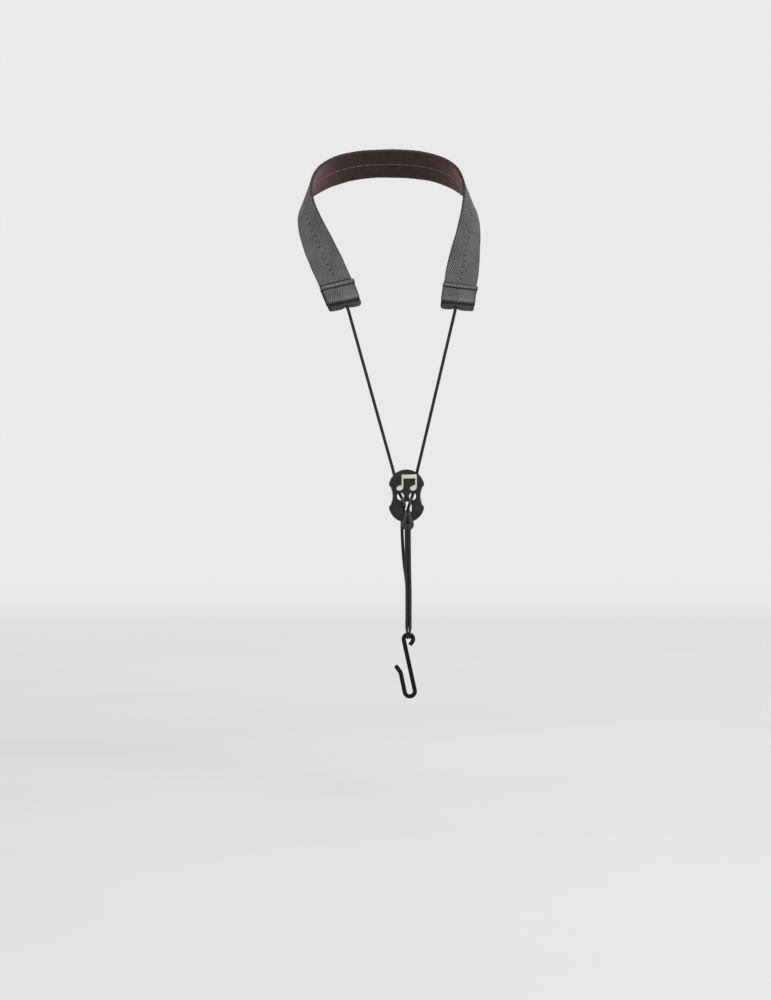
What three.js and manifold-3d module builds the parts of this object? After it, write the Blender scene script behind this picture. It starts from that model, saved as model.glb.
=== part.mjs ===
// A saxophone neck strap in the shape it takes when worn: a flat webbing band round the back of the neck,
// one cord that runs from the band's ends through a slider plate like a block and tackle, and a coated wire
// hook. Millimetres, +Z up, +X to the viewer's right, front towards -Y. The origin is the middle of the
// band's inner face at the nape, the place that rests on the wearer's neck.
import * as THREE from "three";
import { mergeVertices } from "three/addons/utils/BufferGeometryUtils.js";
import Module from "manifold-3d";

const wasm = await Module();
wasm.setup();

// ---------------------------------------------------------------- driving dimensions
const GAP = 0.3; // between pieces that touch

const band = {
  width: 30,
  webbing: 1.3, // thickness of the woven outer layer
  lining: 1.2,
  liningWidth: 28,
  lean: 34, // degrees, how far the band leans back at the nape
  stationEvery: 40, // distance between the bend and twist values, from the nape outwards
  step: 6,
  // How the flat band bends towards the neck and twists about its own length, in degrees per 10 mm.
  left: { length: 260, bend: [3.5, 10.5, 6.5, 7.5, 2.5, -1, 1], twist: [0, 1, -5, -4, -5, -9, -1] },
  right: { length: 256, bend: [3, 10.5, 8, 4.5, 1, -1.5, 1], twist: [0, -0.5, -5, -4, -5, -8, -1] },
};

const seam = { width: 0.8, height: 0.4, clear: 1 }; // clear: from the end caps

const cap = {
  length: 28.5,
  width: 31,
  thickness: 1,
  hem: 4, // the turned-in edge of the flap
  hemThickness: 1.7,
  roll: 3.5, // outer radius of the fold that holds the knot
  neck: 3, // length over which the flaps close on the band behind the roll
  parts: 4, // stretches that each flap is drawn in, so that it can bend with the band
  cordOffset: 1.5, // the cord leaves this far from the middle, towards the band's upper edge
};

const capStitch = { inset: 0.3, width: 0.6, height: 0.4, reach: 28 };

const cord = { radius: 1.4, sides: 8 };
const knot = { radius: 2.1, across: 3 };

const slider = {
  centre: new THREE.Vector3(15.7, -178, -316.4),
  lobeRadius: 15.9,
  lobeCentre: 7.7, // above and below the plate's middle
  lobeEnd: 10.3, // height at which the round lobes turn in towards the grip
  shoulder: { x: 15.5, z: 8.8 }, // the corner that this turn rounds off
  gripHeight: 7, // above and below the middle
  waist: 12.3, // half width at the middle
  gripEnd: 13.8, // half width where the grip ends
  teeth: 7,
  toothDepth: 0.8,
  thickness: 4,
  bevel: 0.6,
};

const upperHole = { x: 5.35, z: -0.4, rx: 3.1, rz: 3.3 };
const lowerHole = { x: 0.6, top: -5.1, bottom: -15.2, radius: 3.95, corner: 2.5 };

// Two beamed notes. Heights are measured from the ornament's middle, (x, z) from the plate's.
const emblem = {
  x: 1.7,
  z: 12.1,
  thickness: 0.7,
  lift: 0.1,
  stems: [-6, 6], // left edge of each stem
  stemWidth: 1.5,
  head: { x: -1.6, z: -5, rx: 3.2, rz: 2.3, tilt: 0.35 },
  beam: { bottom: 3.4, top: 7 },
};

const wire = { radius: 1.95, core: 1.3, bore: 1.6, sides: 8, step: 2.4 };
const hook = {
  eye: new THREE.Vector3(17.4, -177.5, -443.8),
  eyeRadius: 4.2,
  curlAngle: -37, // degrees, where the curl leaves the eye's circle
  curlLength: 3.4,
  lean: 12.3, // of the shank, from vertical
  shank: 45.6,
  bendRadius: 4.55,
  returnLean: 12.9,
  returnLength: 16.3,
  tipLean: 37,
  tipTurnRadius: 8,
  tipLength: 6,
};

// ---------------------------------------------------------------- colours and finishes
const finish = {
  webbing: { color: 0x4b4a4a, roughness: 0.85, metalness: 0 },
  lining: { color: 0x3a1a1c, roughness: 0.9, metalness: 0 },
  thread: { color: 0x6a6866, roughness: 0.7, metalness: 0 },
  cord: { color: 0x1d1b1c, roughness: 0.5, metalness: 0 },
  plate: { color: 0x33332f, roughness: 0.55, metalness: 0 },
  chrome: { color: 0xdfe1e4, roughness: 0.15, metalness: 1 },
  coating: { color: 0x1c1c1a, roughness: 0.4, metalness: 0 },
  steel: { color: 0x9a9ca0, roughness: 0.35, metalness: 1 },
};

const part = new THREE.Group();

function addPiece(name, geometry, look) {
  const mesh = new THREE.Mesh(geometry, new THREE.MeshStandardMaterial(finish[look]));
  mesh.name = name;
  part.add(mesh);
}

// ---------------------------------------------------------------- solids
const radians = THREE.MathUtils.degToRad;

// Only the positions, with shared corners merged, so that the mesh is closed.
function bare(geometry) {
  const positions = (geometry.index ? geometry.toNonIndexed() : geometry).getAttribute("position");
  return mergeVertices(new THREE.BufferGeometry().setAttribute("position", positions), 1e-4);
}

function toSolid(geometry) {
  const g = bare(geometry);
  const vertProperties = g.attributes.position.array;
  const triVerts = new Uint32Array(g.index.array);
  return new wasm.Manifold(new wasm.Mesh({ numProp: 3, vertProperties, triVerts }));
}

function toGeometry(solid) {
  const mesh = solid.getMesh();
  const geometry = new THREE.BufferGeometry();
  geometry.setAttribute("position", new THREE.BufferAttribute(new Float32Array(mesh.vertProperties), 3));
  geometry.setIndex(new THREE.BufferAttribute(new Uint32Array(mesh.triVerts), 1));
  return geometry;
}

function disc(radius, sides) {
  const corner = (_, i) => {
    const a = (2 * Math.PI * i) / sides;
    return new THREE.Vector2(radius * Math.cos(a), radius * Math.sin(a));
  };
  return new THREE.Shape(Array.from({ length: sides }, corner));
}

// A round bar along a smooth line through the points, with a ring about every `every` millimetres.
function bar(points, section, every) {
  const curve = new THREE.CatmullRomCurve3(points, false, "centripetal");
  const steps = Math.max(2, Math.round(curve.getLength() / every));
  return new THREE.ExtrudeGeometry(section, { steps, extrudePath: curve, bevelEnabled: false });
}

const cordSection = disc(cord.radius, cord.sides);
const cordTube = (points, every = 3.2) => bar(points, cordSection, every);

// ---------------------------------------------------------------- the worn shape of the band
function valueAt(values, distance) {
  const at = Math.min(distance / band.stationEvery, values.length - 1);
  const i = Math.min(Math.floor(at), values.length - 2);
  return THREE.MathUtils.lerp(values[i], values[i + 1], at - i);
}

// Turns two perpendicular directions in their own plane, the first towards the second.
function turn(a, b, angle) {
  const before = a.clone();
  a.multiplyScalar(Math.cos(angle)).addScaledVector(b, Math.sin(angle));
  b.multiplyScalar(Math.cos(angle)).addScaledVector(before, -Math.sin(angle));
}

// Places along one side of the band, every millimetre from the nape to its end. side is 1 for the right one
// and -1 for the left one.
function bandPlaces(side, { length, bend, twist }) {
  const lean = radians(band.lean);
  const along = new THREE.Vector3(side, 0, 0);
  const inward = new THREE.Vector3(0, -Math.cos(lean), -Math.sin(lean));
  const up = new THREE.Vector3(0, -Math.sin(lean), Math.cos(lean));
  const point = new THREE.Vector3();
  const places = [];
  for (let s = 0; s <= length; s += 1) {
    places.push({ point: point.clone(), along: along.clone(), inward: inward.clone(), up: up.clone() });
    const halfBend = radians(valueAt(bend, s + 0.5) / 20);
    turn(along, inward, halfBend);
    point.add(along);
    turn(along, inward, halfBend);
    turn(inward, up, radians(valueAt(twist, s + 0.5) / 10));
  }
  return places;
}

const rightPlaces = bandPlaces(1, band.right);
const leftPlaces = bandPlaces(-1, band.left);

// Where a point of the flat band goes when the band is worn: x along the band from the nape, positive to
// the right, y across it towards the lower edge, z out from its inner face.
function worn(flat) {
  const places = flat.x < 0 ? leftPlaces : rightPlaces;
  const distance = Math.abs(flat.x);
  const i = Math.min(Math.floor(distance), places.length - 2);
  const [a, b] = [places[i], places[i + 1]];
  const t = distance - i;
  const up = a.up.clone().lerp(b.up, t).normalize();
  const inward = a.inward.clone().lerp(b.inward, t).normalize();
  const centre = a.point.clone().lerp(b.point, t);
  return centre.addScaledVector(up, -flat.y).addScaledVector(inward, -flat.z);
}

function wear(geometry) {
  const g = bare(geometry);
  const position = g.attributes.position;
  const vertex = new THREE.Vector3();
  for (let i = 0; i < position.count; i += 1) {
    const at = worn(vertex.fromBufferAttribute(position, i));
    position.setXYZ(i, at.x, at.y, at.z);
  }
  return g;
}

// A long flat strip from x0 to x1, `width` wide in `columns` columns. Both faces are cut into triangles the
// same way, so that layers stay parallel when the strip twists.
function strip(x0, x1, width, z0, z1, columns = 1) {
  const steps = Math.round((x1 - x0) / band.step);
  const across = Array.from({ length: columns + 1 }, (_, j) => (j / columns - 0.5) * width);
  const ring = [...across.map((y) => [y, z1]), ...across.map((y) => [y, z0]).reverse()];
  const n = ring.length;
  const positions = [];
  const faces = [];
  for (let i = 0; i <= steps; i += 1) {
    const x = x0 + ((x1 - x0) * i) / steps;
    ring.forEach(([y, z]) => positions.push(x, y, z));
  }
  for (let i = 0; i < steps; i += 1) {
    for (let j = 0; j < n; j += 1) {
      const [a, b, c, d] = [i * n + j, (i + 1) * n + j, (i + 1) * n + ((j + 1) % n), i * n + ((j + 1) % n)];
      faces.push(...(j < columns ? [a, b, d, b, c, d] : [a, b, c, a, c, d]));
    }
  }
  const last = steps * n;
  for (let j = 0; j < columns; j += 1) {
    const [a, b, c, d] = [j, j + 1, n - 2 - j, n - 1 - j];
    faces.push(a, b, c, a, c, d, last + c, last + b, last + a, last + d, last + c, last + a);
  }
  const geometry = new THREE.BufferGeometry();
  geometry.setAttribute("position", new THREE.Float32BufferAttribute(positions, 3));
  geometry.setIndex(faces);
  return geometry;
}

// Stands a drawing in x and z up across the band: y runs from -width / 2 to width / 2.
function across(drawing, width, options = {}) {
  const solid = new THREE.ExtrudeGeometry(drawing, { depth: width, bevelEnabled: false, ...options });
  return solid.rotateX(Math.PI / 2).translate(0, width / 2, 0);
}

// ---------------------------------------------------------------- the band
const webbingInner = band.lining + GAP;
const webbingOuter = webbingInner + band.webbing;
const middle = webbingOuter / 2; // of the band's thickness
const stripEnds = { left: -band.left.length + 8, right: band.right.length - 8 };

function buildBand() {
  const { left, right } = stripEnds;
  const webbing = strip(left, right, band.width, webbingInner, webbingOuter, 2);
  const lining = strip(left, right, band.liningWidth, 0, band.lining, 2);
  addPiece("band_outer_webbing", wear(webbing), "webbing");
  addPiece("band_inner_lining", wear(lining), "lining");
}

// The seam down the middle that holds the lining to the webbing: one thread on each face of the band.
function buildSeam() {
  const first = -band.left.length + cap.length + seam.clear;
  const last = band.right.length - cap.length - seam.clear;
  const thread = (z) => wear(strip(first, last, seam.width, z, z + seam.height));
  addPiece("band_seam_top_thread", thread(webbingOuter + GAP), "thread");
  addPiece("band_seam_bobbin_thread", thread(-GAP - seam.height), "thread");
}

// ---------------------------------------------------------------- the end caps
// Flat drawings of a cap are made at the right end and turned about z for the left one.
function atEnd(geometry, side) {
  return side > 0 ? geometry : geometry.rotateZ(Math.PI);
}

const endLength = (side) => (side > 0 ? band.right.length : band.left.length);

// The cap's section: a flap on each face of the band, closing behind the roll that the knot lies in.
function capSection(end) {
  const top = end - cap.length;
  const rollCentre = end - cap.roll;
  const neckAt = rollCentre - cap.neck;
  const inside = middle + GAP; // half the room between the flaps
  const outside = inside + cap.thickness;
  const hemOutside = inside + cap.hemThickness;
  const section = new THREE.Shape();
  // A straight stretch in short parts, at one height, from where the drawing stands.
  const runTo = (x, z) => {
    const from = section.currentPoint.x;
    for (let i = 1; i <= cap.parts; i += 1) section.lineTo(from + ((x - from) * i) / cap.parts, z);
  };
  section.moveTo(top, middle + inside);
  section.lineTo(top, middle + hemOutside);
  section.lineTo(top + cap.hem, middle + hemOutside);
  section.lineTo(top + cap.hem + 0.4, middle + outside);
  runTo(neckAt, middle + outside);
  section.lineTo(rollCentre, middle + cap.roll);
  section.absarc(rollCentre, middle, cap.roll, Math.PI / 2, -Math.PI / 2, true);
  section.lineTo(neckAt, middle - outside);
  runTo(top, middle - outside);
  section.lineTo(top, middle - inside);
  runTo(neckAt, middle - inside);
  section.lineTo(rollCentre, middle - cap.roll + cap.thickness);
  section.absarc(rollCentre, middle, cap.roll - cap.thickness, -Math.PI / 2, Math.PI / 2, false);
  section.lineTo(neckAt, middle + inside);
  runTo(top, middle + inside);
  return section;
}

function capShell(side) {
  const end = endLength(side);
  const flat = across(capSection(end), cap.width, { curveSegments: 10, steps: 4 });
  const cordHole = new THREE.CylinderGeometry(cord.radius + GAP, cord.radius + GAP, 2 * cap.roll, 12);
  cordHole.rotateZ(Math.PI / 2).translate(end, -side * cap.cordOffset, middle);
  return wear(atEnd(toGeometry(toSolid(flat).subtract(toSolid(cordHole))), side));
}

// The thread sewn round the hem, a long narrow loop on the flap's face.
function capThread(side) {
  const { inset, width, height, reach } = capStitch;
  const top = endLength(side) - cap.length;
  const corners = (margin) => {
    const [x0, x1, y] = [top + inset + margin, top + cap.hem - inset - margin, reach / 2 - margin];
    return [[x0, -y], [x1, -y], [x1, y], [x0, y]].map(([a, b]) => new THREE.Vector2(a, b));
  };
  const loop = new THREE.Shape(corners(0));
  loop.holes.push(new THREE.Path(corners(width)));
  const hemFace = middle + middle + GAP + cap.hemThickness;
  const thread = new THREE.ExtrudeGeometry(loop, { depth: height, bevelEnabled: false });
  return wear(atEnd(thread.translate(0, 0, hemFace + GAP), side));
}

function knotCentre(side) {
  return worn(new THREE.Vector3(side * (endLength(side) - cap.roll), -cap.cordOffset, middle));
}

function endDirection(side) {
  return (side > 0 ? rightPlaces : leftPlaces).at(-1).along;
}

function stopperKnot(side) {
  const ball = new THREE.SphereGeometry(knot.radius, 14, 10).scale(1, knot.across / knot.radius, 1);
  return wear(ball.translate(side * (endLength(side) - cap.roll), -cap.cordOffset, middle));
}

// ---------------------------------------------------------------- the cord
// Points of the cord near the slider are measured from the middle of the plate.
const fromPlate = ([x, y, z]) => new THREE.Vector3(x, y, z).add(slider.centre);

// Where each V leg meets the plate's top edge, behind it.
const legEnd = { left: [-11.8, 3.7, 22.4], right: [9.7, 3.7, 22.4] };

// From the top edge down behind the plate, out through an upper hole, down the front, in through the lower
// hole and down behind the hitch.
const lacing = {
  left: [
    [-11.7, 3.7, 22], [-9.2, 3.7, 12.5], [-7.3, 3.7, 6], [-6.5, 3.5, 3.2], [-5.8, 2.1, 1.4],
    [-5.1, 0, -0.2], [-4.4, -2.2, -1.6], [-3.2, -3.7, -3.3], [-2.2, -3.8, -5.4], [-1.85, -3.2, -7.2],
    [-1.85, -1.6, -8.4], [-1.9, 0, -9.2], [-2.05, 1.8, -9.9], [-2.4, 4, -11], [-2.9, 6.2, -13.4],
    [-3.4, 7, -17.5], [-3.9, 6.9, -24],
  ],
  right: [
    [9.6, 3.7, 22], [8, 3.7, 12.5], [6.6, 3.7, 6], [5.9, 3.6, 3.2], [5.5, 2.1, 1.3], [5.2, 0, 0],
    [4.7, -2.2, -1.5], [4, -3.7, -3.3], [3.2, -3.8, -5.2], [2.8, -3.2, -6.8], [2.4, -1.6, -8],
    [2.15, 0, -8.8], [1.9, 1.8, -9.6], [1.5, 4, -11], [1.15, 6.2, -13.4], [1, 7, -17.5], [1, 6.9, -24],
  ],
};

// The right half of the hitch, from its lowest point below the plate up the front, over the bridge through
// the lower hole, down behind and forward again through its own loop. x counts from the hitch's middle.
const hitchMiddle = 1;
const hitchCord = 1.25; // radius: the knot squeezes the cord
const hitchHalf = [
  [0, -2.8, -29.1], [2.6, -2.8, -28.2], [3.9, -3, -25.6], [3.1, -3.6, -22.6], [2.2, -3.6, -19.5],
  [1.75, -3.7, -17], [1.6, -2.9, -14.5], [1.6, 0, -13.6], [1.6, 2.9, -14.5], [1.6, 3.8, -17],
  [1.5, 3.8, -20], [1.4, 3.5, -23.2], [1.35, 2.2, -24.9], [1.35, 0, -25.4], [1.35, -2.8, -25.7],
  [1.45, -4.7, -27], [1.5, -5.6, -29.2], [1.5, -5.7, -31],
];

// Below the hitch the four strands hang to the hook, two in front and two behind.
const strandTop = { back: [6.9, -24.4], front: [-5.7, -31.4] }; // y and z where they start
const strandEnd = -118.4;
const strandHalf = 1.55; // from the middle of a pair to each strand

// The two strands are pressed together where they turn under the top of the eye.
const bight = { radius: 3.4, half: 0.95, cord: 0.9 };

function legRoute(side) {
  const knotAt = knotCentre(side);
  const out = endDirection(side);
  const end = fromPlate(side > 0 ? legEnd.right : legEnd.left);
  const lip = knotAt.clone().addScaledVector(out, 5.4);
  const down = end.clone().sub(lip).normalize();
  const bendPoint = lip.clone().addScaledVector(out, 0.8).addScaledVector(down, 1.8);
  const start = knotAt.clone().addScaledVector(out, knot.radius + GAP);
  const stops = [0.1, 0.3, 0.5, 0.7, 0.9].map((t) => bendPoint.clone().lerp(end, t));
  return [start, lip, bendPoint, ...stops, end];
}

function hitchRoute() {
  const right = hitchHalf.map(([x, y, z]) => fromPlate([hitchMiddle + x, y, z]));
  const left = hitchHalf.slice(1).map(([x, y, z]) => fromPlate([hitchMiddle - x, y, z]));
  return [...left.reverse(), ...right];
}

// One strand from under the plate to the hook's eye. depth is 1 behind and -1 in front.
function strandRoute(side, depth) {
  const eye = hook.eye.clone().sub(slider.centre);
  const low = [eye.x + side * strandHalf, eye.y + depth * bight.radius, strandEnd];
  const [backX] = (side > 0 ? lacing.right : lacing.left).at(-1);
  const frontX = hitchMiddle + side * strandHalf;
  const high = depth > 0 ? [backX, ...strandTop.back] : [frontX, ...strandTop.front];
  const hanging = [high[0], high[1], high[2] - (depth > 0 ? 8 : 1)];
  const between = (t) => high.map((value, i) => value + (low[i] - value) * t);
  const gathered = [low[0], low[1] + depth * 0.4, between(0.6)[2]];
  return [high, hanging, between(0.35), gathered, [low[0], low[1], strandEnd + 4], low].map(fromPlate);
}

// The turn of one strand under the top of the hook's eye.
function bightRoute(side) {
  const top = hook.eye.z + hook.eyeRadius;
  const x = hook.eye.x + side * bight.half;
  const turnPoints = [0, 45, 90, 135, 180].map(radians).map((a) => {
    return new THREE.Vector3(x, hook.eye.y + bight.radius * Math.cos(a), top - bight.radius * Math.sin(a));
  });
  const stemTop = slider.centre.z + strandEnd - GAP;
  const first = new THREE.Vector3(x, hook.eye.y + bight.radius, stemTop);
  const last = new THREE.Vector3(x, hook.eye.y - bight.radius, stemTop);
  return [first, ...turnPoints, last];
}

function buildCord() {
  for (const [name, side] of [["left", -1], ["right", 1]]) {
    addPiece(`cord_knot_${name}`, stopperKnot(side), "cord");
    addPiece(`cord_leg_${name}`, cordTube(legRoute(side), 6.5), "cord");
    addPiece(`cord_lacing_${name}`, cordTube(lacing[name].map(fromPlate), 2), "cord");
    addPiece(`cord_back_strand_${name}`, cordTube(strandRoute(side, 1), 6), "cord");
    addPiece(`cord_front_strand_${name}`, cordTube(strandRoute(side, -1), 6), "cord");
    addPiece(`cord_hook_bight_${name}`, bar(bightRoute(side), disc(bight.cord, cord.sides), 2), "cord");
  }
  addPiece("cord_hitch", bar(hitchRoute(), disc(hitchCord, cord.sides), 2), "cord");
}

function buildCaps() {
  for (const [name, side] of [["left", -1], ["right", 1]]) {
    addPiece(`end_cap_${name}`, capShell(side), "webbing");
    addPiece(`end_cap_stitching_${name}`, capThread(side), "thread");
  }
}

// ---------------------------------------------------------------- the slider plate
// Drawings in the plate's plane have x to the right and y up. This stands them up, facing -Y.
function standUp(drawing, depth, options = {}) {
  const solid = new THREE.ExtrudeGeometry(drawing, { depth, bevelEnabled: false, ...options });
  return solid.rotateX(Math.PI / 2);
}

// The right half of the grip, from top to bottom: a hollow curve with rounded teeth.
function gripPoints() {
  const { gripHeight, waist, gripEnd, teeth, toothDepth } = slider;
  const perTooth = 3;
  const count = teeth * perTooth;
  return Array.from({ length: count + 1 }, (_, i) => {
    const z = gripHeight * (1 - (2 * i) / count);
    const hollow = waist + (gripEnd - waist) * (z / gripHeight) ** 2;
    const tooth = toothDepth * Math.abs(Math.sin((Math.PI * i) / perTooth));
    return [hollow + tooth - toothDepth / 2, z];
  });
}

function plateOutline() {
  const { lobeRadius, lobeCentre, lobeEnd, shoulder } = slider;
  const start = Math.asin((lobeEnd - lobeCentre) / lobeRadius);
  const grip = gripPoints();
  const [gripTop, gripBottom] = [grip[0], grip.at(-1)];
  const lobeSide = lobeRadius * Math.cos(start);
  const outline = new THREE.Shape();
  outline.absarc(0, lobeCentre, lobeRadius, start, Math.PI - start, false);
  outline.quadraticCurveTo(-shoulder.x, shoulder.z, -gripTop[0], gripTop[1]);
  grip.slice(1).forEach(([x, z]) => outline.lineTo(-x, z));
  outline.quadraticCurveTo(-shoulder.x, -shoulder.z, -lobeSide, -lobeEnd);
  outline.absarc(0, -lobeCentre, lobeRadius, Math.PI + start, 2 * Math.PI - start, false);
  outline.quadraticCurveTo(shoulder.x, -shoulder.z, gripBottom[0], gripBottom[1]);
  grip.reverse().slice(1).forEach(([x, z]) => outline.lineTo(x, z));
  outline.quadraticCurveTo(shoulder.x, shoulder.z, lobeSide, lobeEnd);
  return outline;
}

function cordHoles() {
  const round = [-1, 1].map((side) => {
    const { x, z, rx, rz } = upperHole;
    return new THREE.Path().absellipse(side * x, z, rx, rz, 0, 2 * Math.PI);
  });
  const { x, top, bottom, radius, corner } = lowerHole;
  const arched = new THREE.Path();
  arched.absarc(x, top - radius, radius, 0, Math.PI, false);
  arched.absarc(x - radius + corner, bottom + corner, corner, Math.PI, 1.5 * Math.PI, false);
  arched.absarc(x + radius - corner, bottom + corner, corner, 1.5 * Math.PI, 2 * Math.PI, false);
  arched.closePath();
  return [...round, arched];
}

function buildSlider() {
  const { thickness, bevel, centre } = slider;
  const outline = plateOutline();
  outline.holes.push(...cordHoles());
  const plate = standUp(outline, thickness - 2 * bevel, {
    bevelEnabled: true,
    bevelSize: bevel,
    bevelOffset: -bevel,
    bevelThickness: bevel,
    bevelSegments: 1,
    curveSegments: 12,
  });
  plate.translate(centre.x, centre.y + thickness / 2 - bevel, centre.z);
  addPiece("slider_plate", plate, "plate");
  addPiece("slider_emblem", emblemShape(), "chrome");
}

function box(left, right, bottom, top) {
  return new THREE.Shape().moveTo(left, bottom).lineTo(right, bottom).lineTo(right, top).lineTo(left, top);
}

// A plain ornament: two notes joined by a beam.
function emblemShape() {
  const { stems, stemWidth, head, beam } = emblem;
  const strokes = [box(stems[0], stems[1] + stemWidth, beam.bottom, beam.top)];
  for (const x of stems) {
    const note = new THREE.Shape();
    note.absellipse(x + head.x, head.z, head.rx, head.rz, 0, 2 * Math.PI, false, head.tilt);
    strokes.push(note, box(x, x + stemWidth, head.z, (beam.bottom + beam.top) / 2));
  }
  const solids = strokes.map((shape) => toSolid(standUp(shape, emblem.thickness, { curveSegments: 12 })));
  const joined = toGeometry(solids.reduce((a, b) => a.add(b)));
  const { centre, thickness } = slider;
  return joined.translate(centre.x + emblem.x, centre.y - thickness / 2 - emblem.lift, centre.z + emblem.z);
}

// ---------------------------------------------------------------- the hook
// The wire's centreline in the plane of the hook, from the curl's end over the eye, down the shank, round
// the bend and up to the tip. A heading of 0 points along +X and 90 along +Z.
function wireRoute() {
  const points = [];
  const at = new THREE.Vector2();
  let heading = 0;
  const mark = () => points.push(new THREE.Vector3(hook.eye.x + at.x, hook.eye.y, hook.eye.z + at.y));
  const forward = (length) => {
    at.x += length * Math.cos(radians(heading));
    at.y += length * Math.sin(radians(heading));
    mark();
  };
  // A turn by an angle, to the left if it is positive, on an arc of that radius.
  const bend = (angle, radius) => {
    const steps = Math.max(2, Math.round(Math.abs(angle) / 20));
    const chord = 2 * radius * Math.sin(Math.abs(radians(angle)) / steps / 2);
    for (let i = 0; i < steps; i += 1) {
      heading += angle / steps / 2;
      forward(chord);
      heading += angle / steps / 2;
    }
  };
  const curl = radians(hook.curlAngle);
  heading = hook.curlAngle + 90;
  at.set(hook.eyeRadius * Math.cos(curl), hook.eyeRadius * Math.sin(curl));
  forward(-hook.curlLength);
  forward(hook.curlLength / 2);
  forward(hook.curlLength / 2);
  bend(180 + hook.lean - hook.curlAngle, hook.eyeRadius);
  for (let i = 0; i < 4; i += 1) forward(hook.shank / 4);
  bend(-180 - hook.returnLean + hook.lean, hook.bendRadius);
  for (let i = 0; i < 2; i += 1) forward(hook.returnLength / 2);
  bend(hook.tipLean - hook.returnLean, hook.tipTurnRadius);
  for (let i = 0; i < 2; i += 1) forward(hook.tipLength / 2);
  return points;
}

function buildHook() {
  const route = wireRoute();
  const sleeve = disc(wire.radius, wire.sides);
  sleeve.holes.push(disc(wire.bore, wire.sides));
  addPiece("hook_coating", bar(route, sleeve, wire.step), "coating");
  addPiece("hook_wire_core", bar(route, disc(wire.core, wire.sides), wire.step), "steel");
}

buildBand();
buildSeam();
buildCaps();
buildCord();
buildSlider();
buildHook();

export default part;
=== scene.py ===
"""A saxophone neck strap in its worn shape: woven neck band with stitched end caps, one cord laced through a
moulded slider, and a sleeved wire hook. Run in Blender 4.5 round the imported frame.

Lengths are in millimetres in the row frame (+Z up, the front towards -Y) and become metres where a mesh is
made. The band's pieces are drawn flat (x along the band from the nape, positive to the viewer's right, y
across it towards the lower edge, z out from its inner face), and worn() then lays them round the neck.
"""

import math

import bmesh
import bpy
import numpy as np
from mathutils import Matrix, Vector


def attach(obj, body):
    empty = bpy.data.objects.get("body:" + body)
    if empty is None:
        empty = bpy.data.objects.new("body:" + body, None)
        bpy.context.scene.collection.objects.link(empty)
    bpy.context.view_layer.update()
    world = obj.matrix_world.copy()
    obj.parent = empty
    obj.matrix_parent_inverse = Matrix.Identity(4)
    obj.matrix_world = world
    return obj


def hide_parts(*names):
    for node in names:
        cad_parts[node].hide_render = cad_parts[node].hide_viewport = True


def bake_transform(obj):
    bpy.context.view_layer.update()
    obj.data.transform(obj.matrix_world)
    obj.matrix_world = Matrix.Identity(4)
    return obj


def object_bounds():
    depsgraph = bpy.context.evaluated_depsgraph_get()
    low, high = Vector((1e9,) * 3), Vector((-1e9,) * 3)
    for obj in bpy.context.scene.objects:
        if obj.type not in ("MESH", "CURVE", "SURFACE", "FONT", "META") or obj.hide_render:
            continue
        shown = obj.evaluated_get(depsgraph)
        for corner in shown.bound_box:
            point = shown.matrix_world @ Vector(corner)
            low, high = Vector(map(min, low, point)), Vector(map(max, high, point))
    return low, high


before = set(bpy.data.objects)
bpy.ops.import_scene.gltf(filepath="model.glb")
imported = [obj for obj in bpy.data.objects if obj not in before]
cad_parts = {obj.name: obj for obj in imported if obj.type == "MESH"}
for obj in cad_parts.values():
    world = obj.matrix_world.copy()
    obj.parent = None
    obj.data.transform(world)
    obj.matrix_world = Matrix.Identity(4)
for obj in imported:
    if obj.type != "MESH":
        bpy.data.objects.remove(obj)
CAD_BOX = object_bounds()
MM = 0.001
SIDES = {"left": -1, "right": 1}

CAMERA = {"place": (-0.003, -2.65, -0.32), "lens": 100, "sensor": 36}
LAMPS = {  # place, width and watts
    "key": ((1.1, -1.6, 2.4), 1.6, 60),
    "fill": ((-2.4, -2.2, 0.6), 2.0, 14),
    "back": ((0.4, 2.2, 1.8), 1.6, 30),
}
LAMPS_AIM = Vector((0, -0.12, -0.22))
HORIZON = 0.82  # brightness of the surroundings at eye level

# ---- sizes, the CAD's or, where the look asks for it, within 1 mm of them
BAND = {
    "width": 30,
    "lean": 34,
    "station_every": 40,
    "webbing": (1.5, 2.8),
    "lining": (0, 1.2),
    "lining_width": 28,
    "middle": 1.4,
}
LENGTH = {"left": 260, "right": 256}
BEND = {"left": [3.5, 10.5, 6.5, 7.5, 2.5, -1, 1], "right": [3, 10.5, 8, 4.5, 1, -1.5, 1]}
TWIST = {"left": [0, 1, -5, -4, -5, -9, -1], "right": [0, -0.5, -5, -4, -5, -8, -1]}

CAP = {
    "length": 28.5,
    "width": 31,
    "gap": 1.7,  # from the middle of the band to each flap
    "cloth": 1,
    "hem": 4.8,  # the turned-in edge of the front flap
    "hem_rise": 1.8,
    "roll": 3.5,  # outer radius of the fold that holds the knot
    "crease": 5.9,  # before the end, where the flaps close on each other
    "corner": 2.2,
    "cord_offset": 1.5,  # towards the band's upper edge
}
SEAM = {"pitch": 7.5, "radius": 0.32}
HEM_STITCH = {"pitch": 2.8, "radius": 0.22, "reach": 14}

CORD = 1.4  # radius
STRAND_HALF = 1.42  # from the middle of two strands to each
PLATE = Vector((15.7, -178, -316.4))
EYE = Vector((17.4, -177.5, -443.8))
EYE_RADIUS = 4.2
WIRE = {"sleeve": 1.95, "core": 1.3}  # radii
HOOK = {"curl_angle": -37, "curl_length": 3.4, "lean": 12.3, "shank": 45.6, "bend_radius": 4.55}
HOOK_TIP = {"return_lean": 12.9, "return_length": 16.3, "lean": 37, "radius": 8, "length": 6}

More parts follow.
